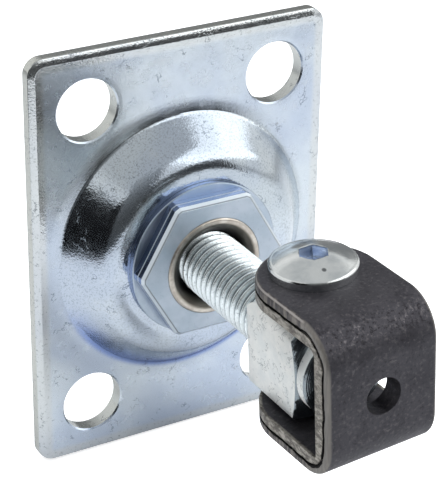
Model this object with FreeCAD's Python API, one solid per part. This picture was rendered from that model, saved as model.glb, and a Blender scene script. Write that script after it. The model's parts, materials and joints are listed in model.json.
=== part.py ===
import FreeCAD, Part
import math
import os
from FreeCAD import Vector

# Adjustable gate hinge: a pressed plate that screws to the post, an adjusting hexagon that turns in
# the plate's dome, an eye bolt that the hexagon screws in and out, and a folded bracket on a pin,
# which is welded to the gate. Millimetres and degrees, +Z up. The origin is the middle of the
# plate's back face, the eye bolt lies along -Y, and the plate stands in the XZ plane.

# Eye bolt: a threaded rod forged in one with a square block, which has a turned round nose
rod_diameter = 18.0
rod_tail_end = 5.0
rod_tail_chamfer = 1.4
pin_distance = 73.0
block_width = 24.4
block_rear_length = 13.2
block_front_length = 10.4
block_front_turning_angle = 20.0
block_top_chamfer = 1.4
block_bottom_chamfer = 1.0
block_rear_rounding = 4.0
block_side_rounding = 1.4
nose_setback = 0.4
nose_length = 3.2
nose_chamfer = 0.5
eye_roll = -3.4

# Threaded bush around the rod, which is rolled over the hexagon and holds it to the dome
thread_play = 0.05
bush_wall = 5.0
bush_rim_width = 1.7
bush_rim_height = 0.45
bush_funnel_depth = 3.4
bush_flange_thickness = 3.5
bush_flange_setback = 1.5
bush_tail_step = 1.5
bush_tail_end = 1.0
bush_edge_rounding = 0.5
bush_rim_rounding = 0.7
bush_play = 0.08
axial_play = 0.1

# Adjusting hexagon around the bush, and the washer behind it
hexagon_wall = 5.1
hexagon_corner_trim = 0.45
hexagon_height = 5.1
hexagon_chamfer = 1.0
washer_margin = 0.4
washer_thickness = 1.6
washer_edge_break = 0.3

# Mounting plate, with the dome pressed out of its middle; the lands are what the dome leaves flat
plate_thickness = 4.5
plate_side_land = 3.7
plate_end_land = 19.3
plate_corner_radius = 4.5
plate_edge_roll = 2.0
dome_flat_margin = 2.2
dome_shoulder_radius = 9.0
dome_flank_tilt = 48.5
dome_rise = 11.0
dome_foot_fillet = 1.5
dome_skirt_width = 3.2
dome_skirt_tilt = 10.0
dome_skirt_rounding = 16.0
fixing_hole_diameter = 17.5
fixing_hole_inset_x = 16.1
fixing_hole_inset_z = 16.0
fixing_hole_edge_break = 0.4

# Bracket folded from thick sheet around the block
sheet_thickness = 5.8
bracket_width = 31.6
bracket_tail = 13.1
gap_above_block = 4.8
gap_below_block = 1.1
gap_ahead_of_nose = 9.9
bend_outer_radius = 10.5
upper_bend_inner_radius = 2.0
lower_bend_inner_radius = 0.8
edge_roll = 1.0
tear_depth_arms = 2.6
tear_depth_web = 2.0
tear_width = 0.5
tear_inset = 0.4
web_hole_diameter = 10.0
bracket_swing = 1.65

# Hinge pin with a button head and a hexagon socket
pin_diameter = 12.0
pin_play = 0.08
pin_end_chamfer = 1.0
head_diameter = 22.5
head_rim_height = 2.8
head_rim_rounding = 1.0
head_crown = 2.4
socket_across_flats = 7.0
socket_mouth_chamfer = 0.8
socket_depth = 3.6

# Worked out from the sizes above
bush_diameter = rod_diameter + 2 * bush_wall
hexagon_across_flats = bush_diameter + 2 * hexagon_wall
hexagon_corner_diameter = hexagon_across_flats * 2 / math.sqrt(3) - 2 * hexagon_corner_trim
washer_diameter = hexagon_corner_diameter + 2 * washer_margin
dome_top_diameter = (washer_diameter + 2 * dome_flat_margin
                     + 2 * dome_shoulder_radius * math.tan(math.radians(dome_flank_tilt) / 2))
dome_skirt_rise = dome_skirt_width * math.tan(math.radians(dome_skirt_tilt))
dome_foot_diameter = (dome_top_diameter
                      + 2 * (dome_rise - dome_skirt_rise) / math.tan(math.radians(dome_flank_tilt)))
dome_skirt_diameter = dome_foot_diameter + 2 * dome_skirt_width
plate_width = dome_skirt_diameter + 2 * plate_side_land
plate_height = dome_skirt_diameter + 2 * plate_end_land
nose_diameter = block_width - 2 * nose_setback
bracket_height = block_width + gap_above_block + gap_below_block + 2 * sheet_thickness
bracket_raise = (gap_above_block - gap_below_block) / 2
bracket_reach = block_front_length + nose_length + gap_ahead_of_nose + sheet_thickness

# Worked out as distances in front of the plate's back face
dome_top = plate_thickness + dome_rise
washer_back = dome_top + axial_play
washer_front = washer_back + washer_thickness
hexagon_front = washer_front + hexagon_height
bush_flange_front = dome_rise - axial_play
bush_flange_back = bush_flange_front - bush_flange_thickness
block_back = pin_distance - block_rear_length
block_front = pin_distance + block_front_length
nose_front = block_front + nose_length

front = Vector(0, -1, 0)


def outline(corners, place):
    """Closed wire through corners (a, b, radius) in order, each corner rounded by its radius.

    place turns the flat pair (a, b) into a point in space.
    """
    rounded = []
    count = len(corners)
    for index in range(count):
        a, b, radius = corners[index]
        corner = Vector(a, b, 0)
        before = Vector(corners[index - 1][0], corners[index - 1][1], 0) - corner
        after = Vector(corners[(index + 1) % count][0], corners[(index + 1) % count][1], 0) - corner
        if radius == 0:
            rounded.append((corner, None, corner))
            continue
        half_angle = before.getAngle(after) / 2
        before.normalize()
        after.normalize()
        middle = before + after
        middle.normalize()
        run = radius / math.tan(half_angle)
        depth = radius / math.sin(half_angle) - radius
        rounded.append((corner + before * run, corner + middle * depth, corner + after * run))
    edges = []
    for index in range(count):
        start, arc_middle, end = rounded[index]
        following = rounded[(index + 1) % count][0]
        if arc_middle is not None:
            points = [place(point.x, point.y) for point in (start, arc_middle, end)]
            edges.append(Part.Arc(*points).toShape())
        if end.distanceToPoint(following) > 1e-6:
            edges.append(Part.makeLine(place(end.x, end.y), place(following.x, following.y)))
    return Part.Wire(edges)


def turned(corners):
    """Solid of revolution about the Y axis, from corners (radius, distance to the front, rounding)."""
    section = Part.Face(outline(corners, lambda radius, ahead: Vector(radius, -ahead, 0)))
    return section.revolve(Vector(0, 0, 0), Vector(0, 1, 0), 360)


def bar(diameter, back, ahead, x=0.0, z=0.0):
    """Round bar along Y, between two distances in front of the plate's back face."""
    return Part.makeCylinder(diameter / 2, ahead - back, Vector(x, -back, z), front)


def dome_core(depth, back):
    """Solid under a skin of the dome that lies at a depth below its front skin.

    Outside in, the skin is the flat plate, a gently tilted skirt, the steep flank and the flat top.
    """
    tilts = (0, dome_skirt_tilt, dome_flank_tilt, 0)
    corners = (
        (dome_skirt_diameter / 2, plate_thickness, dome_skirt_rounding),
        (dome_foot_diameter / 2, plate_thickness + dome_skirt_rise, dome_foot_fillet),
        (dome_top_diameter / 2, dome_top, -dome_shoulder_radius),
    )
    skin = []
    for (radius, height, hollow_rounding), before, after in zip(corners, tilts, tilts[1:]):
        middle = math.radians(before + after) / 2
        stretch = depth / math.cos(math.radians(after - before) / 2)
        skin.append((radius - stretch * math.sin(middle), height - stretch * math.cos(middle),
                     abs(hollow_rounding + depth)))
    rim = plate_width / 2 - plate_edge_roll
    skin_front = plate_thickness - depth
    return turned([(0, back, 0), (rim, back, 0), (rim, skin_front, 0), *skin, (0, dome_top - depth, 0)])


def make_mounting_plate():
    half_width = plate_width / 2
    half_height = plate_height / 2
    corners = [
        (-half_width, -half_height, plate_corner_radius),
        (half_width, -half_height, plate_corner_radius),
        (half_width, half_height, plate_corner_radius),
        (-half_width, half_height, plate_corner_radius),
    ]
    sheet = Part.Face(outline(corners, lambda x, z: Vector(x, 0, z)))
    plate = sheet.extrude(front * plate_thickness)
    front_edges = [edge for edge in plate.Edges if abs(edge.BoundBox.YMax + plate_thickness) < 1e-6]
    plate = plate.makeFillet(plate_edge_roll, front_edges)

    # The back skin of the dome is the front skin moved in by the sheet's thickness
    plate = plate.fuse(dome_core(0, plate_thickness / 2)).removeSplitter()
    plate = plate.cut(dome_core(plate_thickness, -1)).removeSplitter()
    plate = plate.cut(bar(bush_diameter + 2 * bush_play, 0, dome_top + 1))

    broken = fixing_hole_diameter / 2 + fixing_hole_edge_break
    for x_side in (-1, 1):
        for z_side in (-1, 1):
            x = x_side * (half_width - fixing_hole_inset_x)
            z = z_side * (half_height - fixing_hole_inset_z)
            plate = plate.cut(bar(fixing_hole_diameter, -1, plate_thickness + 1, x, z))
            sink = Part.makeCone(broken, broken - 2 * fixing_hole_edge_break, 2 * fixing_hole_edge_break,
                                 Vector(x, -plate_thickness, z), Vector(0, 1, 0))
            plate = plate.cut(sink)
    return plate


def make_thrust_washer():
    inner = bush_diameter / 2
    outer = washer_diameter / 2
    return turned([
        (inner, washer_back, 0),
        (outer, washer_back, 0),
        (outer, washer_front, washer_edge_break),
        (inner, washer_front, 0),
    ])


def hexagon_prism(across_flats, base, direction, height, first_corner):
    """Six-sided prism on base, along direction, with one corner towards first_corner."""
    side = first_corner.cross(direction)
    corner_radius = across_flats / math.sqrt(3)
    points = []
    for index in range(7):
        angle = math.radians(60 * index)
        points.append(base + (first_corner * math.cos(angle) + side * math.sin(angle)) * corner_radius)
    return Part.Face(Part.makePolygon(points)).extrude(direction * height)


def make_adjusting_hexagon():
    base = Vector(0, -washer_front, 0)
    body = hexagon_prism(hexagon_across_flats, base, front, hexagon_height, Vector(1, 0, 0))
    body = body.common(bar(hexagon_corner_diameter, washer_front, hexagon_front))
    front_edges = [edge for edge in body.Edges if abs(edge.BoundBox.YMax + hexagon_front) < 1e-6]
    body = body.makeChamfer(hexagon_chamfer, front_edges)
    return body.cut(bar(bush_diameter, washer_front - 1, hexagon_front + 1))


def make_threaded_bush():
    bore = rod_diameter / 2 + thread_play
    outer = bush_diameter / 2
    rim_front = hexagon_front + bush_rim_height
    rim_inner = outer - bush_rim_width
    tail = outer - bush_tail_step
    flange = washer_diameter / 2 - bush_flange_setback
    return turned([
        (bore, bush_tail_end, 0),
        (tail, bush_tail_end, bush_edge_rounding),
        (tail, bush_flange_back, 0),
        (flange, bush_flange_back, bush_edge_rounding),
        (flange, bush_flange_front, 0),
        (outer, bush_flange_front, 0),
        (outer, rim_front, bush_rim_rounding),
        (rim_inner, rim_front, bush_rim_rounding),
        (bore, rim_front - bush_funnel_depth, 0),
    ])


def make_eye_bolt():
    radius = rod_diameter / 2
    rod = turned([
        (0, rod_tail_end, 0),
        (radius - rod_tail_chamfer, rod_tail_end, 0),
        (radius, rod_tail_end + rod_tail_chamfer, 0),
        (radius, block_back + block_rear_rounding, 0),
        (0, block_back + block_rear_rounding, 0),
    ])

    # The block is what three outlines have in common: seen from the front, the side and above
    half = block_width / 2
    upper = half - block_top_chamfer
    lower = half - block_bottom_chamfer
    length = block_front - block_back
    front_view = [
        (-half, -lower, 0), (-lower, -half, 0), (lower, -half, 0), (half, -lower, 0),
        (half, upper, 0), (upper, half, 0), (-upper, half, 0), (-half, upper, 0),
    ]
    side_view = [
        (block_back, -half, block_rear_rounding), (block_front, -half, 0),
        (block_front, half, 0), (block_back, half, block_rear_rounding),
    ]
    top_view = [
        (-half, block_back, block_side_rounding), (half, block_back, block_side_rounding),
        (half, block_front, 0), (-half, block_front, 0),
    ]
    from_front = Part.Face(outline(front_view, lambda x, z: Vector(x, -block_back, z)))
    from_side = Part.Face(outline(side_view, lambda ahead, z: Vector(-half, -ahead, z)))
    from_above = Part.Face(outline(top_view, lambda x, ahead: Vector(x, -ahead, -half)))
    block = from_front.extrude(front * length)
    block = block.common(from_side.extrude(Vector(block_width, 0, 0)))
    block = block.common(from_above.extrude(Vector(0, 0, block_width)))

    # The front corners are turned off to a shallow cone, which leaves a curved end on each flat
    nose_radius = nose_diameter / 2
    corner_reach = block_width
    cone_depth = (corner_reach - nose_radius) * math.tan(math.radians(block_front_turning_angle))
    block = block.common(turned([
        (0, block_back - 1, 0),
        (corner_reach, block_back - 1, 0),
        (corner_reach, block_front - cone_depth, 0),
        (nose_radius, block_front, 0),
        (0, block_front, 0),
    ]))
    nose = turned([
        (0, pin_distance, 0),
        (nose_radius, pin_distance, 0),
        (nose_radius, nose_front - nose_chamfer, 0),
        (nose_radius - nose_chamfer, nose_front, 0),
        (0, nose_front, 0),
    ])
    bore_radius = pin_diameter / 2 + pin_play
    bore = Part.makeCylinder(bore_radius, block_width + 2, Vector(0, -pin_distance, -half - 1))
    return rod.fuse([block, nose]).removeSplitter().cut(bore)


def bracket_layer(arm_depth, web_depth, thickness, upper_inner_radius, lower_inner_radius, overhang):
    """A layer of the folded sheet, from given depths below its outer face at the arms and the web."""
    half_width = bracket_width / 2 + overhang
    top = bracket_height / 2 - arm_depth
    ahead = bracket_reach - web_depth
    bend = bend_outer_radius - (arm_depth + web_depth) / 2
    tail = bracket_tail + bracket_width
    corners = [
        (-tail, top, 0),
        (ahead, top, bend),
        (ahead, -top, bend),
        (-tail, -top, 0),
        (-tail, thickness - top, 0),
        (ahead - thickness, thickness - top, lower_inner_radius),
        (ahead - thickness, top - thickness, upper_inner_radius),
        (-tail, top - thickness, 0),
    ]
    section = Part.Face(outline(corners, lambda ahead, z: Vector(-half_width, -ahead, z)))
    return section.extrude(Vector(2 * half_width, 0, 0))


def bracket_blank(inset):
    """The bracket's outline from above, a strip with one round end, drawn in by inset all round."""
    half_width = bracket_width / 2
    bottom = -bracket_height / 2
    round_middle = bracket_width / 2 - bracket_tail
    strip = Part.makeBox(2 * (half_width - inset), bracket_reach - round_middle, bracket_height,
                         Vector(inset - half_width, -bracket_reach, bottom))
    end = Part.makeCylinder(half_width - inset, bracket_height, Vector(0, -round_middle, bottom))
    return strip.fuse(end).removeSplitter()


def is_outer_rim(edge):
    """Whether an edge lies between the bracket's outer face and its cut edge."""
    middle = edge.valueAt((edge.FirstParameter + edge.LastParameter) / 2)
    bend_z = bracket_height / 2 - bend_outer_radius
    bend_y = bend_outer_radius - bracket_reach
    if abs(middle.z) > bend_z and middle.y < bend_y:
        depth = bend_outer_radius - math.hypot(abs(middle.z) - bend_z, middle.y - bend_y)
    else:
        depth = min(bracket_height / 2 - abs(middle.z), middle.y + bracket_reach)
    on_side = abs(abs(middle.x) - bracket_width / 2) < 1e-4
    on_end = abs(middle.y - bracket_tail) < 1e-4
    return abs(depth) < 1e-4 and (on_side or on_end)


def make_bracket():
    """The bracket with its pin axis on the Z axis and its web square to -Y."""
    sheet = bracket_layer(0, 0, sheet_thickness, upper_bend_inner_radius, lower_bend_inner_radius, 0)
    bracket = sheet.common(bracket_blank(0))
    bracket = bracket.makeFillet(edge_roll, [edge for edge in bracket.Edges if is_outer_rim(edge)])

    # The cut edge has a torn groove between its smooth outer zone and its rough inner zone
    tear_bend = bend_outer_radius - (tear_depth_arms + tear_depth_web) / 2 - tear_width
    tear = bracket_layer(tear_depth_arms, tear_depth_web, tear_width, tear_bend, tear_bend, 1)
    bracket = bracket.cut(tear.cut(bracket_blank(tear_inset)))

    # The pin passes freely through the upper arm and is screwed into the lower one
    hole_length = bracket_height / 2 + 1
    upper_hole = Part.makeCylinder(pin_diameter / 2 + pin_play, hole_length)
    lower_hole = Part.makeCylinder(pin_diameter / 2, hole_length, Vector(0, 0, -hole_length))
    web_hole = Part.makeCylinder(web_hole_diameter / 2, sheet_thickness + 2,
                                 Vector(0, 1 + sheet_thickness - bracket_reach, 0), front)
    return bracket.cut(upper_hole).cut(lower_hole).cut(web_hole)


def make_hinge_pin():
    """The pin on the Z axis, with its head on the bracket's upper arm."""
    radius = pin_diameter / 2
    head_radius = head_diameter / 2
    bottom = -bracket_height / 2
    under_head = bracket_height / 2
    rim_top = under_head + head_rim_height
    crown_top = rim_top + head_crown
    crown_start = Vector(head_radius - head_rim_rounding, 0, rim_top)
    crown_radius = (crown_start.x ** 2 + head_crown ** 2) / (2 * head_crown)
    half_run = crown_start.x / 2
    crown_middle_drop = crown_radius - math.sqrt(crown_radius ** 2 - half_run ** 2)
    crown_middle = Vector(half_run, 0, crown_top - crown_middle_drop)
    diagonal = head_rim_rounding * math.sqrt(0.5)
    rounding_start = Vector(head_radius, 0, rim_top - head_rim_rounding)
    rounding_middle = rounding_start + Vector(diagonal - head_rim_rounding, 0, diagonal)
    profile = [
        Vector(0, 0, crown_top),
        Vector(0, 0, bottom),
        Vector(radius - pin_end_chamfer, 0, bottom),
        Vector(radius, 0, bottom + pin_end_chamfer),
        Vector(radius, 0, under_head),
        Vector(head_radius, 0, under_head),
        rounding_start,
    ]
    edges = [Part.makeLine(start, end) for start, end in zip(profile, profile[1:])]
    edges.append(Part.Arc(rounding_start, rounding_middle, crown_start).toShape())
    edges.append(Part.Arc(crown_start, crown_middle, profile[0]).toShape())
    body = Part.Face(Part.Wire(edges)).revolve(Vector(0, 0, 0), Vector(0, 0, 1), 360)

    down = Vector(0, 0, -1)
    above = Vector(0, 0, crown_top + 1)
    socket = hexagon_prism(socket_across_flats, above, down, socket_depth + 1, Vector(1, 0, 0))
    mouth_radius = socket_across_flats / 2 + socket_mouth_chamfer
    mouth = Part.makeCone(0, mouth_radius, mouth_radius / 2, Vector(0, 0, crown_top - mouth_radius / 2))
    return body.cut(socket).cut(mouth)


def roll_with_eye(shape):
    """Turn a shape about the rod's axis to the angle at which the eye stands in its thread."""
    shape.rotate(Vector(0, 0, 0), Vector(0, 1, 0), eye_roll)
    return shape


def set_on_pin(shape, raised):
    """Swing a shape that is made about the Z axis, and carry it to the pin's place on the eye."""
    shape.rotate(Vector(0, 0, 0), Vector(0, 0, 1), bracket_swing)
    shape.translate(Vector(0, -pin_distance, raised))
    return roll_with_eye(shape)


parts = {
    "mounting_plate": make_mounting_plate(),
    "thrust_washer": make_thrust_washer(),
    "adjusting_hexagon": make_adjusting_hexagon(),
    "threaded_bush": make_threaded_bush(),
    "eye_bolt": roll_with_eye(make_eye_bolt()),
    "gate_bracket": set_on_pin(make_bracket(), bracket_raise),
    "hinge_pin": set_on_pin(make_hinge_pin(), bracket_raise),
}

os.makedirs("parts", exist_ok=True)
for name, shape in parts.items():
    shape.exportStep("parts/" + name + ".step")
    box = shape.BoundBox
    print(name, "valid", shape.isValid(), "solids", len(shape.Solids), "volume", round(shape.Volume, 1),
          "x", round(box.XMin, 2), round(box.XMax, 2), "y", round(box.YMin, 2), round(box.YMax, 2),
          "z", round(box.ZMin, 2), round(box.ZMax, 2))
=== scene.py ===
import json
import math

import bmesh
import bpy
import numpy as np
from mathutils import Matrix, Vector


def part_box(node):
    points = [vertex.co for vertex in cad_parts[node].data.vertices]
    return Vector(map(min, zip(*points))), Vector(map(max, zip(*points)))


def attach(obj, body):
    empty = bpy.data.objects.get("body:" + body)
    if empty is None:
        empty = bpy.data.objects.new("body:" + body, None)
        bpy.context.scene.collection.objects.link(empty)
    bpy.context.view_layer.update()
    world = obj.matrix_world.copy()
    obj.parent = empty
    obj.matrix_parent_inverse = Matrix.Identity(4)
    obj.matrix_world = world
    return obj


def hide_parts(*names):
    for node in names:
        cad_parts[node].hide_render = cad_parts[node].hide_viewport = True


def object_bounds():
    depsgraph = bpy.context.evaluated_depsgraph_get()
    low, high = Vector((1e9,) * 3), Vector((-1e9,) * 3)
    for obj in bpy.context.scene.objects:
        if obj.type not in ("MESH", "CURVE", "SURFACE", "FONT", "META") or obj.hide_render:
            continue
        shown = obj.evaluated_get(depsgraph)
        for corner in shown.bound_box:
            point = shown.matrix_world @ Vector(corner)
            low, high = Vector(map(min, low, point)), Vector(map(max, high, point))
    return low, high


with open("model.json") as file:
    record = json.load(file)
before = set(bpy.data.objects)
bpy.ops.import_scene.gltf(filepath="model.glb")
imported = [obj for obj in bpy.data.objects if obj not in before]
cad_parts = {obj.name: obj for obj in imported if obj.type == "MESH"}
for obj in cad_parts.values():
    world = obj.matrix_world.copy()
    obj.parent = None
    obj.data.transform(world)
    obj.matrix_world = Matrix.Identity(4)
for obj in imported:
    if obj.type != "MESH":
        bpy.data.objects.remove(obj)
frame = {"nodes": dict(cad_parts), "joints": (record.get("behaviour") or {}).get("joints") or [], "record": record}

cad_box = [list(corner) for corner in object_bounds()]

# Sizes in millimetres, as the hinge was made
mm = 0.001
plate_corner_radius = 4.5
plate_roll = 2.0
hole_x = 28.29
hole_z = 43.99
hole_radius = 8.75
dome_foot_radius = 37.5
bush_radius = 14.0
hexagon_seam_y = -19.4
rod_radius = 9.0
thread_pitch = 2.5
thread_depth = 1.45
thread_end_y = -62.0
thread_runout = (2.2, 3.7)
rod_tail_chamfer = 1.4
turning_feed = 0.6
bracket_width = 31.6
bracket_height = 41.9
bracket_reach = 29.3
bracket_tail = 13.1
bend_outer_radius = 10.5
tear_depth_arms = 2.85
tear_depth_web = 2.25
tear_half_width = 0.52
tear_wander = 1.68
arm_top = bracket_height / 2
head_top = arm_top + 5.2
head_dimple = (-1.85, -7.35)
socket_reach = 4.3

# How finely the thread is drawn
rows_per_turn = 22
points_around = 96

# The pin's axis and the bracket's own directions, from the frame
swing = next(joint for joint in frame["joints"] if joint["name"] == "bracket_swing")
mounts = {mount["name"]: mount for mount in frame["record"]["mounts"]}
pin_point = Vector(swing["pos_m"])
pin_axis = Vector(swing["axis"]).normalized()
bracket_back = -Vector(mounts["weld_face"]["axis"]).normalized()
bracket_side = bracket_back.cross(pin_axis).normalized()
bracket_turn = Matrix((bracket_side, bracket_back, pin_axis))


# Nodes and colours

def colour(hex_value):
    """Linear colour of an sRGB hex value."""
    channels = np.array([int(hex_value[i:i + 2], 16) for i in (1, 3, 5)]) / 255
    linear = np.where(channels <= 0.04045, channels / 12.92, ((channels + 0.055) / 1.055) ** 2.4)
    return (*linear.tolist(), 1.0)


def add(tree, kind, *inputs, out=0, **settings):
    """Add a node and return one of its outputs, by place or name, or the node itself if out is None.

    The inputs are given in the node's own order, or as one dictionary by place or name. Each is a
    value, a hex colour or an output to link from. The settings are the node's own.
    """
    node = tree.nodes.new("ShaderNode" + kind)
    for name, value in settings.items():
        setattr(node, name, value)
    by_name = bool(inputs) and isinstance(inputs[0], dict)
    for name, value in (inputs[0] if by_name else dict(enumerate(inputs))).items():
        if isinstance(value, bpy.types.NodeSocket):
            tree.links.new(value, node.inputs[name])
        elif isinstance(value, str):
            node.inputs[name].default_value = colour(value)
        else:
            node.inputs[name].default_value = value
    return node if out is None else node.outputs[out]


# A Map Range node that eases in and out: value, from, to, and then what they become
smooth = {"interpolation_type": "SMOOTHSTEP"}


def new_material(name):
    """An empty node material, with its tree and its Object coordinates."""
    material = bpy.data.materials.new(name)
    material.use_nodes = True
    tree = material.node_tree
    tree.nodes.clear()
    return material, tree, add(tree, "TexCoord", out="Object")


def finish_material(tree, **inputs):
    """Close a material with the shader that has these inputs, whose names have _ for a space."""
    inputs = {name.replace("_", " "): value for name, value in inputs.items()}
    shader = add(tree, "BsdfPrincipled", inputs)
    add(tree, "OutputMaterial", {"Surface": shader}, out=None)


def grain(tree, place, size_mm, detail=2.0, roughness=0.5, stretch=None):
    """Noise whose blotches are size_mm across, stretched by the three factors in stretch."""
    if stretch:
        place = add(tree, "Mapping", {"Vector": place, "Scale": [1 / factor for factor in stretch]})
    noise = {"Vector": place, "Scale": 1 / (size_mm * mm), "Detail": detail, "Roughness": roughness}
    return add(tree, "TexNoise", noise, out="Fac")


def layered(tree, tint, *layers):
    """A colour with others laid over it, each as its place, the most that it covers, and its colour.

    A Mix node takes its two colours at 6 and 7, and gives the mixed one at 2.
    """
    for share, most, over in layers:
        if most < 1:
            share = add(tree, "Math", share, most, operation="MULTIPLY")
        tint = add(tree, "Mix", {0: share, 6: tint, 7: over}, out=2, data_type="RGBA")
    return tint


def relief(tree, normal, *bumps):
    """A normal, or None, with bumps laid over it, each as its height from 0 to 1 and its depth in mm."""
    for height, depth_mm in bumps:
        inputs = {"Height": height, "Distance": depth_mm * mm}
        if normal:
            inputs["Normal"] = normal
        normal = add(tree, "Bump", inputs)
    return normal


def rod_distance(tree, place):
    """Distance from the Y axis, which is the axis of the dome, the hexagon and the rod."""
    x, y, z = add(tree, "SeparateXYZ", place, out=None).outputs
    across = add(tree, "CombineXYZ", x, 0.0, z)
    return add(tree, "VectorMath", across, operation="LENGTH", out="Value")


def front_normal(tree):
    """Y of the flat face's own normal, which is -1 where the face looks to the front."""
    return add(tree, "SeparateXYZ", add(tree, "NewGeometry", out="True Normal"), out="Y")


def worm_lines(tree, place, size_mm, width, share):
    """Thin wandering scratches: where one noise crosses its middle and a second noise is high."""
    across = add(tree, "Math", grain(tree, place, size_mm, 3, 0.6), 0.5, operation="SUBTRACT")
    across = add(tree, "Math", across, operation="ABSOLUTE")
    line = add(tree, "MapRange", across, width, 0.3 * width, **smooth)
    where = add(tree, "MapRange", grain(tree, place, 1.6 * size_mm, 2, 0.5), share, share + 0.05, **smooth)
    return add(tree, "Math", line, where, operation="MULTIPLY")


# Mounting plate

def outline_distance(tree, side, end):
    """Distance in from the plate's rounded outline, up to the corner radius.

    It is the corner radius, less how far the place lies out from the rectangle of the corners'
    centres. side and end are the distances from the plate's two middle lines.
    """
    reach = plate_corner_radius * mm
    past_side = add(tree, "Math", side, cad_box[1][0] - reach, operation="SUBTRACT")
    past_end = add(tree, "Math", end, cad_box[1][2] - reach, operation="SUBTRACT")
    past_side = add(tree, "Math", past_side, 0.0, operation="MAXIMUM")
    past_end = add(tree, "Math", past_end, 0.0, operation="MAXIMUM")
    past = add(tree, "CombineXYZ", past_side, 0.0, past_end)
    past = add(tree, "VectorMath", past, operation="LENGTH", out="Value")
    return add(tree, "Math", reach, past, operation="SUBTRACT")


def drooping_edge(tree, from_edge):
    """The normal of the plate's front edge as a shear leaves it: a shallow droop, then a tight corner.

    The roll's even turn from the front to the side is given a new course. Its lean, which is the
    sine of the angle from the front, first rises to 0.32 and stays near it, and then goes to 1.
    """
    even = add(tree, "NewGeometry", out="Normal")
    y = add(tree, "SeparateXYZ", even, out="Y")
    facing = add(tree, "Math", y, operation="ABSOLUTE")
    lean = 0.0
    for start, end, rise in ((0.999, 0.94, 0.22), (0.9, 0.5, 0.10), (0.42, 0.08, 0.68)):
        step = add(tree, "MapRange", facing, start, end, 0.0, rise, **smooth)
        lean = add(tree, "Math", lean, step, operation="ADD")
    front = add(tree, "Math", lean, lean, operation="MULTIPLY")
    front = add(tree, "Math", 1.0, front, operation="SUBTRACT")
    front = add(tree, "Math", front, operation="SQRT")
    outward = add(tree, "VectorMath", even, (1.0, 0.0, 1.0), operation="MULTIPLY")
    outward = add(tree, "VectorMath", outward, operation="NORMALIZE")
    sideways = add(tree, "VectorMath", {0: outward, "Scale": lean}, operation="SCALE")
    forward = add(tree, "CombineXYZ", 0.0, add(tree, "Math", front, -1.0, operation="MULTIPLY"), 0.0)
    drooped = add(tree, "VectorMath", sideways, forward, operation="ADD")
    in_roll = add(tree, "MapRange", from_edge, (plate_roll + 0.3) * mm, (plate_roll + 0.1) * mm, **smooth)
    in_front = add(tree, "MapRange", y, 0.05, -0.02, **smooth)
    share = add(tree, "Math", in_roll, in_front, operation="MULTIPLY")
    mixed = add(tree, "Mix", {0: share, 4: even, 5: drooped}, out=1, data_type="VECTOR")
    return add(tree, "VectorMath", mixed, operation="NORMALIZE")


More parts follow.
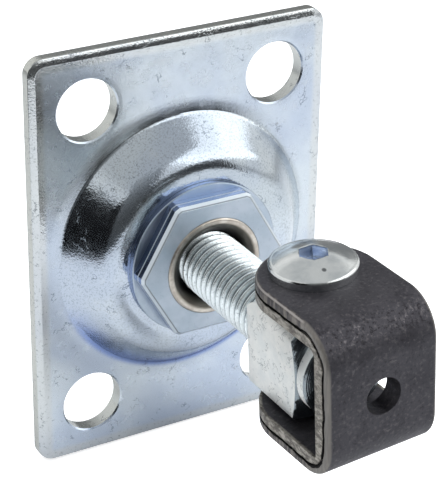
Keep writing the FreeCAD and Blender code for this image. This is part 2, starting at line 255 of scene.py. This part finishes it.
def plate_zinc():
    """Bright zinc electroplate on pressed sheet: a blue-white metal, with the grain of the pressing.

    The dome's stretched skin has a coarser grain. Its upper part is painted greyer and its lower foot
    bluer, as painted reflections of the grey above and of the shaded floor below. The edges are
    warmer and speckled, and the sheet rolls in a little at each hole.
    """
    material, tree, place = new_material("plate_zinc_electroplate")
    x, y, z = add(tree, "SeparateXYZ", place, out=None).outputs
    side = add(tree, "Math", x, operation="ABSOLUTE")
    end = add(tree, "Math", z, operation="ABSOLUTE")
    radius = rod_distance(tree, place)
    on_dome = add(tree, "MapRange", radius, (dome_foot_radius + 2) * mm, dome_foot_radius * mm, **smooth)
    at_foot = (dome_foot_radius - 6) * mm, (dome_foot_radius - 1) * mm
    foot = add(tree, "MapRange", radius, *at_foot, **smooth)
    # The lower foot is painted blue, as the reflection of the shaded floor below
    lower_foot_reflection = add(tree, "MapRange", z, -8 * mm, -26 * mm, **smooth)
    lower_foot_reflection = add(tree, "Math", foot, lower_foot_reflection, operation="MULTIPLY")
    lower_foot_reflection = add(tree, "Math", lower_foot_reflection, on_dome, operation="MULTIPLY")
    # The upper part of the dome is painted greyer, as the reflection of the grey above
    upper_dome_reflection = add(tree, "MapRange", z, 0.0, 12 * mm, **smooth)
    upper_dome_reflection = add(tree, "Math", on_dome, upper_dome_reflection, operation="MULTIPLY")
    from_edge = outline_distance(tree, side, end)
    edge_band = add(tree, "MapRange", from_edge, 4.3 * mm, 2.6 * mm, **smooth)
    facing = add(tree, "Math", front_normal(tree), operation="ABSOLUTE")
    sheared = add(tree, "MapRange", facing, 0.35, 0.1, **smooth)

    clouds = add(tree, "MapRange", grain(tree, place, 24, 3, 0.55), 0.35, 0.65, **smooth)
    stains = grain(tree, place, 4, 5, 0.65)
    pale_stains = add(tree, "MapRange", stains, 0.55, 0.75, **smooth)
    specks = add(tree, "MapRange", grain(tree, place, 0.4, 2, 0.6), 0.62, 0.74, **smooth)
    dome_specks = add(tree, "MapRange", grain(tree, place, 0.5, 2, 0.7), 0.5, 0.64, **smooth)
    dome_specks = add(tree, "Math", dome_specks, on_dome, operation="MULTIPLY")
    edge_specks = add(tree, "MapRange", grain(tree, place, 0.9, 4, 0.7), 0.56, 0.66, **smooth)
    edge_specks = add(tree, "Math", edge_specks, edge_band, operation="MULTIPLY")
    worms = worm_lines(tree, place, 3.2, 0.015, 0.58)
    tint = layered(tree, "#BDC8D7",
                   (clouds, 1.0, "#CFD8DF"),
                   (pale_stains, 0.35, "#DDE3E7"),
                   (lower_foot_reflection, 0.8, "#6E8ACB"),
                   (upper_dome_reflection, 0.3, "#949C9C"),
                   (edge_band, 0.45, "#D2D1C9"),
                   (sheared, 0.8, "#B9BBB4"),
                   (specks, 0.35, "#7C8C9E"),
                   (dome_specks, 0.4, "#7A8388"),
                   (edge_specks, 0.55, "#5F686E"),
                   (worms, 0.55, "#5E6973"))

    # What the press stretched or the shear drew is smoother, and its grain is deeper
    worked = add(tree, "Math", on_dome, edge_band, operation="MAXIMUM")
    smoother = add(tree, "Math", worked, 0.10, operation="MULTIPLY")
    rough = add(tree, "MapRange", stains, 0.3, 0.75, 0.22, 0.30, **smooth)
    rough = add(tree, "Math", rough, smoother, operation="SUBTRACT")
    grain_depth = add(tree, "MapRange", worked, 0, 1, 0.4, 1.0, **smooth)
    pressed = add(tree, "Math", grain(tree, place, 0.55, 1, 0.5), grain_depth, operation="MULTIPLY")

    hole = (hole_x * mm, 0.0, hole_z * mm)
    quarter = add(tree, "CombineXYZ", side, 0.0, end)
    from_hole = add(tree, "VectorMath", quarter, hole, operation="DISTANCE", out="Value")
    hole_rim = (hole_radius - 0.3) * mm, (hole_radius + 1.8) * mm
    rolled_in = add(tree, "MapRange", from_hole, *hole_rim, **smooth)
    unscratched = add(tree, "Math", 1.0, worms, operation="SUBTRACT")
    normal = relief(tree, drooping_edge(tree, from_edge),
                    (rolled_in, 0.05),
                    (grain(tree, place, 9, 1, 0.5), 0.07),
                    (pressed, 0.03),
                    (unscratched, 0.03))
    finish_material(tree, Base_Color=tint, Metallic=1.0, Roughness=rough, Normal=normal)
    return material


# Washer, hexagon and bush

def machined_zinc():
    """Bright zinc on a turned and milled face: smoother and greyer than the sheet.

    The sides have a blue film, and a pale line is painted where they meet the washer, as the
    highlight of the washer's edge. The bevels are painted whiter as a highlight, with a dark crease
    beside the front face. They are a little crowned, so they reflect as if they stood steeper than
    they are.
    """
    material, tree, place = new_material("machined_zinc_electroplate")
    y = add(tree, "SeparateXYZ", place, out="Y")
    facing = add(tree, "Math", front_normal(tree), operation="ABSOLUTE")
    on_side = add(tree, "MapRange", facing, 0.4, 0.2, **smooth)
    # The pale line where the sides meet the washer is a painted highlight of the washer's edge
    from_seam = add(tree, "Math", y, hexagon_seam_y * mm, operation="SUBTRACT")
    from_seam = add(tree, "Math", from_seam, operation="ABSOLUTE")
    seam_highlight = add(tree, "MapRange", from_seam, 0.3 * mm, 0.1 * mm, **smooth)
    seam_highlight = add(tree, "Math", seam_highlight, on_side, operation="MULTIPLY")
    from_front = add(tree, "Math", y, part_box("adjusting_hexagon")[0][1], operation="SUBTRACT")
    behind_front = add(tree, "MapRange", from_front, 0.02 * mm, 0.06 * mm, **smooth)
    crease = add(tree, "MapRange", from_front, 0.38 * mm, 0.26 * mm, **smooth)
    crease = add(tree, "Math", behind_front, crease, operation="MULTIPLY")
    # The bevels are painted whiter, as a highlight
    off_front = add(tree, "MapRange", facing, 0.97, 0.93, **smooth)
    off_side = add(tree, "MapRange", facing, 0.3, 0.45, **smooth)
    near_front = add(tree, "MapRange", from_front, 2.4 * mm, 2.0 * mm, **smooth)
    bevel_highlight = add(tree, "Math", off_front, off_side, operation="MULTIPLY")
    bevel_highlight = add(tree, "Math", bevel_highlight, near_front, operation="MULTIPLY")

    clouds = grain(tree, place, 9, 3, 0.55)
    fine = grain(tree, place, 0.5, 2, 0.6)
    tint = layered(tree, "#A6B4C1",
                   (add(tree, "MapRange", clouds, 0.35, 0.68, **smooth), 1.0, "#B9C4D0"),
                   (add(tree, "MapRange", fine, 0.62, 0.74, **smooth), 0.3, "#7C8A99"),
                   (on_side, 0.4, "#6E86C8"),
                   (seam_highlight, 1.0, "#E4ECF4"),
                   (bevel_highlight, 0.7, "#DDE6EC"),
                   (crease, 0.7, "#4A555F"))

    # The front face and the bevels scatter more, like zinc that has dulled a little
    duller = add(tree, "Math", bevel_highlight, 0.35, operation="MULTIPLY")
    metal = add(tree, "MapRange", from_front, 0.02 * mm, 0.06 * mm, 0.6, 1.0, **smooth)
    metal = add(tree, "Math", metal, duller, operation="SUBTRACT")
    rough = add(tree, "MapRange", clouds, 0.3, 0.7, 0.30, 0.36, **smooth)
    smoother = add(tree, "Math", on_side, 0.14, operation="MULTIPLY")
    rough = add(tree, "Math", rough, smoother, operation="SUBTRACT")
    rougher = add(tree, "Math", seam_highlight, 0.4, operation="MULTIPLY")
    rough = add(tree, "Math", rough, rougher, operation="ADD")
    rounded = add(tree, "Bevel", {"Radius": 0.2 * mm}, samples=6)
    steeper = add(tree, "VectorMath", rounded, (1.0, 0.6, 1.0), operation="MULTIPLY")
    steeper = add(tree, "VectorMath", steeper, operation="NORMALIZE")
    normal = relief(tree, steeper, (grain(tree, place, 6, 2, 0.5), 0.03), (fine, 0.012))
    finish_material(tree, Base_Color=tint, Metallic=metal, Roughness=rough, Normal=normal)
    return material


def bush_steel():
    """Turned steel of the bush, warm from oil on its rolled rim, with painted shade down its funnel and painted
    shadow over oil in its bore.
    """
    material, tree, place = new_material("oiled_turned_steel")
    radius = rod_distance(tree, place)
    clouds = add(tree, "MapRange", grain(tree, place, 3, 3, 0.6), 0.35, 0.7, **smooth)
    # The funnel is painted darker as shade, and the bore near-black as painted shadow over oil in the gap
    inside_rim = (bush_radius - 1.0) * mm, (bush_radius - 1.8) * mm
    funnel_shade = add(tree, "MapRange", radius, *inside_rim, **smooth)
    down_funnel = (bush_radius - 2.2) * mm, (rod_radius + 0.6) * mm
    bore_shadow = add(tree, "MapRange", radius, *down_funnel, **smooth)
    tint = layered(tree, "#B3ABA1",
                   (clouds, 1.0, "#D0CBC2"),
                   (funnel_shade, 1.0, "#8C867D"),
                   (bore_shadow, 1.0, "#1E1C1B"))
    normal = relief(tree, None, (grain(tree, place, 0.6, 2, 0.5), 0.012))
    finish_material(tree, Base_Color=tint, Metallic=1.0, Roughness=0.3, Normal=normal)
    return material


# Eye bolt

def forged_zinc():
    """Zinc over a rough forging: pale and matt, with dark specks left in its pits.

    The nose, which looks to the front, is turned: it is smoother, with the rings of the tool, and
    painted greyer, partly as turned metal and partly as painted shade inside the bracket.
    """
    material, tree, place = new_material("forged_zinc_electroplate")
    # The turned nose is painted greyer: partly the turned metal, partly painted shade inside the bracket
    turned = add(tree, "MapRange", front_normal(tree), -0.4, -0.7, **smooth)
    clouds = grain(tree, place, 6, 4, 0.6)
    pits = grain(tree, place, 1.1, 4, 0.65)
    specks = grain(tree, place, 1.6, 5, 0.75, (1, 1.6, 1))
    unturned = add(tree, "Math", 1.0, turned, operation="SUBTRACT")
    worms = worm_lines(tree, place, 2.6, 0.02, 0.5)
    worms = add(tree, "Math", worms, unturned, operation="MULTIPLY")
    tint = layered(tree, "#DDE1E0",
                   (add(tree, "MapRange", clouds, 0.35, 0.7, **smooth), 1.0, "#F1F2EF"),
                   (add(tree, "MapRange", specks, 0.62, 0.68, **smooth), 0.8, "#6E7A80"),
                   (worms, 0.6, "#6A7478"),
                   (turned, 1.0, "#8A9398"))
    metal = add(tree, "MapRange", turned, 0, 1, 0.65, 1.0, **smooth)
    smoother = add(tree, "Math", turned, 0.3, operation="MULTIPLY")
    rough = add(tree, "MapRange", clouds, 0.3, 0.7, 0.42, 0.56, **smooth)
    rough = add(tree, "Math", rough, smoother, operation="SUBTRACT")
    turns = add(tree, "Math", rod_distance(tree, place), turning_feed * mm, operation="DIVIDE")
    rings = add(tree, "Math", turns, 0.5, operation="PINGPONG")
    rings = add(tree, "Math", rings, turned, operation="MULTIPLY")
    rounded = add(tree, "Bevel", {"Radius": 0.35 * mm}, samples=6)
    normal = relief(tree, rounded, (pits, 0.06), (specks, 0.03), (rings, 0.06))
    finish_material(tree, Base_Color=tint, Metallic=metal, Roughness=rough, Normal=normal)
    return material


def thread_zinc():
    """Zinc on the rolled thread: bright crests, and roots painted dark as shade."""
    material, tree, place = new_material("thread_zinc_electroplate")
    crest_band = (rod_radius - 1.4) * mm, (rod_radius - 0.45) * mm
    crest = add(tree, "MapRange", rod_distance(tree, place), *crest_band, **smooth)
    facing = add(tree, "Math", front_normal(tree), operation="ABSOLUTE")
    on_end = add(tree, "MapRange", facing, 0.9, 0.97, **smooth)
    bright = add(tree, "Math", crest, on_end, operation="MAXIMUM")
    spots = grain(tree, place, 1.1, 5, 0.75)
    # The dark base colour is painted shade in the roots; the crests and the machined end keep the bright zinc
    tint = layered(tree, "#3B4A52",
                   (bright, 1.0, "#EDF5F7"),
                   (add(tree, "MapRange", spots, 0.56, 0.68, **smooth), 0.75, "#6F7E86"))
    normal = relief(tree, None, (spots, 0.08))
    finish_material(tree, Base_Color=tint, Metallic=1.0, Roughness=0.26, Normal=normal)
    return material


# Bracket and pin

def bracket_place(tree, place):
    """Place in the bracket's own directions, from the middle of its pin's axis."""
    shift = -(bracket_turn @ pin_point)
    turn = {"Vector": place, "Location": shift, "Rotation": bracket_turn.to_euler()}
    return add(tree, "Mapping", turn)


def polished_zinc():
    """Zinc on a cold-headed button head: the smoothest surface here, with a few small pits.

    The socket's walls are painted near-white at their rim as a highlight, and bluer and darker below
    as painted shade, and a small dimple marks the crown.
    """
    material, tree, place = new_material("button_head_zinc_electroplate")
    x, y, z = add(tree, "SeparateXYZ", bracket_place(tree, place), out=None).outputs
    here = add(tree, "CombineXYZ", x, y, 0.0)
    off_axis = add(tree, "VectorMath", here, operation="LENGTH", out="Value")
    below_crown = add(tree, "MapRange", z, (head_top - 0.5) * mm, (head_top - 0.9) * mm, **smooth)
    in_socket = add(tree, "MapRange", off_axis, socket_reach * mm, (socket_reach - 0.2) * mm, **smooth)
    in_socket = add(tree, "Math", in_socket, below_crown, operation="MULTIPLY")
    # The socket is painted near-white at its rim as a highlight, and bluer and darker lower down as shade
    deep_socket_shade = add(tree, "MapRange", z, (head_top - 0.9) * mm, (head_top - 2.4) * mm, **smooth)
    socket_highlight_and_shade = layered(tree, "#F2F5F8", (deep_socket_shade, 1.0, "#A9B4C6"))
    dimple = add(tree, "CombineXYZ", head_dimple[0] * mm, head_dimple[1] * mm, 0.0)
    from_dimple = add(tree, "VectorMath", here, dimple, operation="DISTANCE", out="Value")
    on_head = add(tree, "MapRange", z, 20 * mm, 21 * mm, **smooth)
    mark = add(tree, "MapRange", from_dimple, 0.75 * mm, 0.35 * mm, **smooth)
    mark = add(tree, "Math", mark, on_head, operation="MULTIPLY")
    clouds = grain(tree, place, 7, 3, 0.55)
    pits = grain(tree, place, 1.0, 4, 0.7)
    tint = layered(tree, "#C3C8C9",
                   (add(tree, "MapRange", clouds, 0.35, 0.7, **smooth), 1.0, "#DADDDC"),
                   (add(tree, "MapRange", pits, 0.68, 0.75, **smooth), 0.7, "#5F6668"),
                   (in_socket, 1.0, socket_highlight_and_shade),
                   (mark, 0.8, "#3C3F42"))
    rough = add(tree, "MapRange", clouds, 0.3, 0.7, 0.11, 0.18, **smooth)
    rounded = add(tree, "Bevel", {"Radius": 0.3 * mm}, samples=6)
    normal = relief(tree, rounded, (pits, 0.03))
    finish_material(tree, Base_Color=tint, Metallic=1.0, Roughness=rough, Normal=normal)
    return material


def fold_depth(tree, up, ahead):
    """Depth below the folded outer face: how far inside a rounded rectangle seen along the width.

    up and ahead are the heights above the centre of a bend and the distances in front of it.
    """
    past_up = add(tree, "Math", up, 0.0, operation="MAXIMUM")
    past_ahead = add(tree, "Math", ahead, 0.0, operation="MAXIMUM")
    corner = add(tree, "CombineXYZ", past_up, past_ahead, 0.0)
    corner = add(tree, "VectorMath", corner, operation="LENGTH", out="Value")
    inside = add(tree, "Math", up, ahead, operation="MAXIMUM")
    inside = add(tree, "Math", inside, 0.0, operation="MINIMUM")
    out = add(tree, "Math", corner, inside, operation="ADD")
    return add(tree, "Math", bend_outer_radius * mm, out, operation="SUBTRACT")


def strip_distance(tree, x, y):
    """Distance from the strip's middle line, which is half the width on the cut edges."""
    tail_centre = (bracket_width / 2 - bracket_tail) * mm
    beyond = add(tree, "Math", y, tail_centre, operation="ADD")
    beyond = add(tree, "Math", beyond, 0.0, operation="MAXIMUM")
    aside = add(tree, "CombineXYZ", x, beyond, 0.0)
    return add(tree, "VectorMath", aside, operation="LENGTH", out="Value")


def mill_scale(tree, local, clouds, mottle, near_bend):
    """Colour of the rolled faces: blue-black scale, scratched, and flaked and chipped at the bends."""
    scratches = grain(tree, local, 0.5, 3, 0.6, (9, 1, 3))
    flecks = grain(tree, local, 1.3, 5, 0.7)
    flaked = add(tree, "MapRange", flecks, 0.56, 0.66, **smooth)
    flaked = add(tree, "Math", flaked, near_bend, operation="MULTIPLY")
    chipped = add(tree, "MapRange", flecks, 0.46, 0.38, **smooth)
    chipped = add(tree, "Math", chipped, near_bend, operation="MULTIPLY")
    return layered(tree, "#39383D",
                   (add(tree, "MapRange", clouds, 0.3, 0.72, **smooth), 1.0, "#4A494E"),
                   (add(tree, "MapRange", mottle, 0.54, 0.66, **smooth), 0.6, "#625F61"),
                   (add(tree, "MapRange", mottle, 0.44, 0.34, **smooth), 0.6, "#28262A"),
                   (add(tree, "MapRange", scratches, 0.68, 0.75, **smooth), 0.35, "#7A7776"),
                   (flaked, 1.0, "#6A676A"),
                   (chipped, 0.8, "#1D1B1F"))


def cut_edge(tree, local, on_web, past_tear):
    """Colour of the blanked edges: streaked where sheared, and rough and paler where torn."""
    streaks = grain(tree, local, 1.2, 4, 0.65, (1, 1, 14))
    torn = grain(tree, local, 1.3, 5, 0.75, (1, 2, 1))
    sheared_zone = layered(tree, "#464345",
                           (add(tree, "MapRange", streaks, 0.4, 0.62, **smooth), 1.0, "#86817B"),
                           (on_web, 0.7, "#85827D"))
    torn_zone = layered(tree, "#5F5B56",
                        (add(tree, "MapRange", torn, 0.4, 0.62, **smooth), 1.0, "#AAA69D"))
    return layered(tree, sheared_zone, (past_tear, 1.0, torn_zone))


def raw_steel():
    """Hot-rolled steel with its mill scale: blue-black faces, and grey cut edges with a torn line in painted
    shade.
    """
    material, tree, place = new_material("raw_steel_with_mill_scale")
    local = bracket_place(tree, place)
    x, y, z = add(tree, "SeparateXYZ", local, out=None).outputs
    up = add(tree, "Math", z, operation="ABSOLUTE")
    up = add(tree, "Math", up, (bracket_height / 2 - bend_outer_radius) * mm, operation="SUBTRACT")
    ahead = add(tree, "Math", y, -1.0, operation="MULTIPLY")
    ahead = add(tree, "Math", ahead, (bracket_reach - bend_outer_radius) * mm, operation="SUBTRACT")
    depth = fold_depth(tree, up, ahead)
    aside = strip_distance(tree, x, y)
    cut = bracket_width / 2
    edge = add(tree, "MapRange", aside, (cut - 1.1) * mm, (cut - 0.35) * mm, **smooth)
    near_edge = add(tree, "MapRange", aside, (cut - 1.0) * mm, (cut - 0.7) * mm, **smooth)

    # The bend's middle lies on the diagonal from its centre
    bend_middle = (bend_outer_radius * math.sqrt(0.5) * mm,) * 2 + (0.0,)
    section = add(tree, "CombineXYZ", up, ahead, 0.0)
    from_bend = add(tree, "VectorMath", section, bend_middle, operation="DISTANCE", out="Value")
    near_bend = add(tree, "MapRange", from_bend, 5.5 * mm, 1.0 * mm, **smooth)

    # The torn line wanders along the cut edge, and is painted near-black as the shade in its groove
    wander = add(tree, "Math", grain(tree, local, 5, 3, 0.6), 0.5, operation="SUBTRACT")
    wander = add(tree, "Math", wander, tear_wander * mm, operation="MULTIPLY")
    tear_depths = tear_depth_arms * mm, tear_depth_web * mm
    target = add(tree, "MapRange", ahead, -2 * mm, 2 * mm, *tear_depths, **smooth)
    off_line = add(tree, "Math", depth, wander, operation="ADD")
    off_line = add(tree, "Math", off_line, target, operation="SUBTRACT")
    off_line = add(tree, "Math", off_line, operation="ABSOLUTE")
    tear_shade = add(tree, "MapRange", off_line, tear_half_width * mm, 0.6 * tear_half_width * mm, **smooth)
    tear_shade = add(tree, "Math", tear_shade, near_edge, operation="MULTIPLY")
    past_tear = add(tree, "Math", depth, target, operation="SUBTRACT")
    past_tear = add(tree, "MapRange", past_tear, -0.4 * mm, 0.2 * mm, **smooth)

    # The arms' outer edge is painted light, as a highlight on its rounding, and is smoother
    on_web = add(tree, "MapRange", ahead, -2 * mm, 2 * mm, **smooth)
    on_arm = add(tree, "MapRange", ahead, 1 * mm, -1 * mm, **smooth)
    outermost = add(tree, "MapRange", depth, 0.6 * mm, 0.4 * mm, **smooth)
    rim = add(tree, "MapRange", aside, (cut - 0.6) * mm, (cut - 0.4) * mm, **smooth)
    rim = add(tree, "Math", rim, outermost, operation="MULTIPLY")
    rim = add(tree, "Math", rim, on_arm, operation="MULTIPLY")

    clouds = grain(tree, local, 8, 4, 0.6)
    mottle = grain(tree, local, 1.0, 4, 0.7)
    tint = layered(tree, mill_scale(tree, local, clouds, mottle, near_bend),
                   (edge, 1.0, cut_edge(tree, local, on_web, past_tear)),
                   (rim, 0.8, "#A5A19E"),
                   (tear_shade, 1.0, "#0B0A0B"))
    rougher = add(tree, "Math", tear_shade, 0.3, operation="MULTIPLY")
    smoother = add(tree, "Math", rim, 0.15, operation="MULTIPLY")
    rough = add(tree, "MapRange", clouds, 0.3, 0.7, 0.46, 0.58, **smooth)
    rough = add(tree, "Math", rough, rougher, operation="ADD")
    rough = add(tree, "Math", rough, smoother, operation="SUBTRACT")
    untorn = add(tree, "Math", 1.0, tear_shade, operation="SUBTRACT")
    rounded = add(tree, "Bevel", {"Radius": 0.3 * mm}, samples=6)
    normal = relief(tree, rounded, (clouds, 0.12), (mottle, 0.09), (untorn, 0.35))
    finish_material(tree, Base_Color=tint, Metallic=0.75, Roughness=rough, Normal=normal)
    return material


# Meshes

def eye_piece(name, mesh, material):
    """A new smooth piece of the eye bolt, which slides with the eye."""
    piece = bpy.data.objects.new(name, mesh)
    bpy.context.scene.collection.objects.link(piece)
    mesh.materials.append(material)
    mesh.shade_smooth()
    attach(piece, "eye")
    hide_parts("eye_bolt")
    return piece


def thread_profile(phase):
    """Share of the thread's depth that is cut away at a phase of its turn, from 0 to 1.

    A straight flank runs from the flat crest, an eighth of the pitch wide, to the middle of the
    turn. The sine of its quarter turn, to the power 1.15, rounds the root.
    """
    half_crest = 1 / 16
    flank = np.clip((0.5 - half_crest - np.abs(phase - 0.5)) / (0.5 - half_crest), 0, 1)
    return np.sin(flank * math.pi / 2) ** 1.15


def threaded_rod(material):
    """The rod as a grid of angle by length.

    The helix's phase is the length in pitches less the angle in turns. The radius is the rod's, less
    the thread's depth times the profile at that phase. The thread fades out along thread_runout in
    front, and a cone of 45 degrees limits the radius at the tail.
    """
    tail_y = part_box("eye_bolt")[1][1] / mm
    rows = int((tail_y - thread_end_y) / thread_pitch * rows_per_turn)
    y = np.linspace(thread_end_y, tail_y, rows)[:, None]
    angle = np.linspace(0, 2 * math.pi, points_around, endpoint=False)[None, :]
    phase = np.mod(y / thread_pitch - angle / (2 * math.pi), 1.0)
    fade_start, fade_end = thread_runout
    depth = thread_depth * np.clip((y - thread_end_y - fade_start) / (fade_end - fade_start), 0, 1)
    radius = rod_radius - depth * thread_profile(phase)
    radius = np.minimum(radius, rod_radius - rod_tail_chamfer + (tail_y - y))
    points = np.stack([radius * np.cos(angle), y + 0 * angle, radius * np.sin(angle)], -1).reshape(-1, 3)
    index = np.arange(rows * points_around).reshape(rows, points_around)
    turned = np.roll(index, -1, axis=1)
    faces = np.stack([index[:-1], index[1:], turned[1:], turned[:-1]], -1).reshape(-1, 4).tolist()
    faces.append(index[0].tolist())
    faces.append(index[-1][::-1].tolist())
    mesh = bpy.data.meshes.new("threaded_rod")
    mesh.from_pydata((points * mm).tolist(), [], faces)
    return eye_piece("threaded_rod", mesh, material)


def eye_block(material):
    """The block of the eye, which is the eye bolt's own surface without its plain rod."""
    shell = bmesh.new()
    shell.from_mesh(frame["nodes"]["eye_bolt"].data)
    bmesh.ops.remove_doubles(shell, verts=shell.verts, dist=0.001 * mm)
    just_outside = (rod_radius + 0.02) * mm
    rod = [face for face in shell.faces
           if all(math.hypot(corner.co.x, corner.co.z) < just_outside for corner in face.verts)]
    bmesh.ops.delete(shell, geom=rod, context="FACES")
    rim = [edge for edge in shell.edges if edge.is_boundary]
    bmesh.ops.holes_fill(shell, edges=rim, sides=0)
    bmesh.ops.recalc_face_normals(shell, faces=shell.faces)
    mesh = bpy.data.meshes.new("eye_block")
    shell.to_mesh(mesh)
    shell.free()
    piece = eye_piece("eye_block", mesh, material)
    mesh.set_sharp_from_angle(angle=math.radians(25))
    return piece


def dress(node, material):
    """Give a node of the frame its material."""
    mesh = frame["nodes"][node].data
    mesh.materials.clear()
    mesh.materials.append(material)


dress("mounting_plate", plate_zinc())
hexagon_zinc = machined_zinc()
dress("thrust_washer", hexagon_zinc)
dress("adjusting_hexagon", hexagon_zinc)
dress("threaded_bush", bush_steel())
dress("gate_bracket", raw_steel())
dress("hinge_pin", polished_zinc())
threaded_rod(thread_zinc())
eye_block(forged_zinc())


# Floor, studio and camera

card_radius = 0.42
card_columns = 24
floor_gap = 0.0005


def stage_object(name, mesh):
    """A piece of the stage with an empty material, and its tree."""
    piece = bpy.data.objects.new(name, mesh)
    bpy.context.scene.collection.objects.link(piece)
    material = bpy.data.materials.new(name)
    material.use_nodes = True
    tree = material.node_tree
    tree.nodes.clear()
    mesh.materials.append(material)
    return piece, tree


def level_square(name, height, side):
    """A horizontal square about the Z axis, as a piece of the stage."""
    mesh = bpy.data.meshes.new(name)
    half = side / 2
    corners = [(-half, -half, height), (half, -half, height), (half, half, height), (-half, half, height)]
    mesh.from_pydata(corners, [], [(0, 1, 2, 3)])
    return stage_object(name, mesh)


def only_in_reflections(piece):
    """Hide a stage card from the camera and from every light path but reflections."""
    piece.visible_camera = False
    piece.visible_diffuse = False
    piece.visible_shadow = False
    piece.visible_transmission = False


def floor():
    """A pale floor under the plate, which the camera sees as almost white, with a faint shadow."""
    piece, tree = level_square("floor", cad_box[0][2] - floor_gap, 8)
    diffuse = add(tree, "BsdfDiffuse", {"Color": "#E3E5E8"})
    glow = add(tree, "Emission", {"Color": "#FFFFFF", "Strength": 0.75})
    both = add(tree, "AddShader", diffuse, glow)
    seen = add(tree, "MixShader", add(tree, "LightPath", out="Is Camera Ray"), diffuse, both)
    add(tree, "OutputMaterial", {"Surface": seen}, out=None)


def ceiling_card():
    """A grey card high above the hinge, which only reflections see."""
    piece, tree = level_square("ceiling_card", 0.85, 1.7)
    glow = add(tree, "Emission", {"Color": (0.97, 0.985, 1, 1), "Strength": 0.68})
    add(tree, "OutputMaterial", {"Surface": glow}, out=None)
    only_in_reflections(piece)


def standing_card(name, azimuths, elevation, foot_radius, low_level, high_level):
    """A card bent round the hinge, from a foot that lies on the floor up to an elevation in degrees.

    Only reflections see it, as a photographer sets cards to draw the edges of metal. Seen from above
    it is an arc from one azimuth to the other, and in section it is an L. Its grey is low_level up to
    the height of the hinge's middle, and runs from there to high_level at the top.
    """
    under = cad_box[0][2]
    top = card_radius * math.tan(math.radians(elevation))
    section = np.array([(foot_radius, under), (card_radius, under), (card_radius, 0.0), (card_radius, top)])
    angle = np.radians(np.linspace(*azimuths, card_columns))[:, None]
    across, height = section[:, 0][None, :], section[:, 1][None, :] + 0 * angle
    points = np.stack([across * np.sin(angle), -across * np.cos(angle), height], -1).reshape(-1, 3)
    index = np.arange(len(points)).reshape(card_columns, len(section))
    faces = np.stack([index[:-1, :-1], index[1:, :-1], index[1:, 1:], index[:-1, 1:]], -1).reshape(-1, 4)
    mesh = bpy.data.meshes.new(name)
    mesh.from_pydata(points.tolist(), [], faces.tolist())
    piece, tree = stage_object(name, mesh)
    z = add(tree, "SeparateXYZ", add(tree, "TexCoord", out="Object"), out="Z")
    level = add(tree, "MapRange", z, 0.0, top, low_level, high_level, **smooth)
    glow = add(tree, "Emission", {"Color": (0.96, 0.98, 1, 1), "Strength": level})
    add(tree, "OutputMaterial", {"Surface": glow}, out=None)
    only_in_reflections(piece)


def direction(azimuth, elevation):
    """Unit vector towards an azimuth and elevation in radians; azimuth 0 is the front."""
    return Vector((math.sin(azimuth) * math.cos(elevation), -math.cos(azimuth) * math.cos(elevation),
                   math.sin(elevation)))


def softbox(name, azimuth, elevation, distance, width, height, power):
    """A wide area lamp that faces the hinge, placed by its azimuth and elevation in degrees."""
    lamp = bpy.data.lights.new(name, "AREA")
    lamp.shape = "RECTANGLE"
    lamp.size = width
    lamp.size_y = height
    lamp.energy = power
    piece = bpy.data.objects.new(name, lamp)
    bpy.context.scene.collection.objects.link(piece)
    away = direction(math.radians(azimuth), math.radians(elevation))
    piece.location = away * distance
    piece.rotation_euler = (-away).to_track_quat("-Z", "Y").to_euler()
    return piece


def studio_world():
    """White surroundings for the camera and for reflections, and a softer level for diffuse light."""
    world = bpy.data.worlds.new("studio")
    bpy.context.scene.world = world
    world.use_nodes = True
    tree = world.node_tree
    tree.nodes.clear()
    light = add(tree, "LightPath", out=None).outputs
    sharp = add(tree, "Math", light["Is Camera Ray"], light["Is Glossy Ray"], operation="MAXIMUM")
    sharp = add(tree, "Math", sharp, light["Is Transmission Ray"], operation="MAXIMUM")
    level = add(tree, "MapRange", sharp, 0, 1, 0.55, 1.0, **smooth)
    glow = add(tree, "Background", {"Color": "#FFFFFF", "Strength": level})
    add(tree, "OutputWorld", {"Surface": glow}, out=None)


def camera():
    """The photograph's camera, as azimuth, elevation and roll, at a distance from the plate's middle."""
    azimuth, elevation, roll = (math.radians(value) for value in (-30.23, 26.97, 0.93))
    distance, aside, above = 0.54645, 0.01316, -0.00204
    focal_pixels, image_width = 1971.5, 444
    away = direction(azimuth, elevation)
    level = Vector((0, 0, 1)).cross(away).normalized()
    upright = away.cross(level)
    right = math.cos(roll) * level + math.sin(roll) * upright
    up = away.cross(right)
    lens = bpy.data.cameras.new("camera")
    lens.sensor_fit = "HORIZONTAL"
    lens.lens = lens.sensor_width * focal_pixels / image_width
    piece = bpy.data.objects.new("camera", lens)
    bpy.context.scene.collection.objects.link(piece)
    place = Matrix((right, up, away)).transposed().to_4x4()
    place.translation = distance * away + aside * right + above * up
    piece.matrix_world = place
    bpy.context.scene.camera = piece


floor()
ceiling_card()
studio_world()
softbox("lamp_right", 54, 37, 0.95, 1.18, 0.72, 3.2)
softbox("lamp_above", 30, 80, 0.78, 0.45, 0.45, 6).visible_glossy = False
standing_card("card_left", (-76, -40), 29, 0.26, 0.012, 0.02)
standing_card("card_front_left", (-40, 0), 48, 0.30, 0.10, 0.45)
standing_card("card_front_right", (0, 38), 17, 0.41, 0.06, 0.10)
standing_card("card_behind", (112, 188), 35, 0.41, 0.28, 0.34)
camera()
bpy.context.scene.view_settings.view_transform = "Standard"
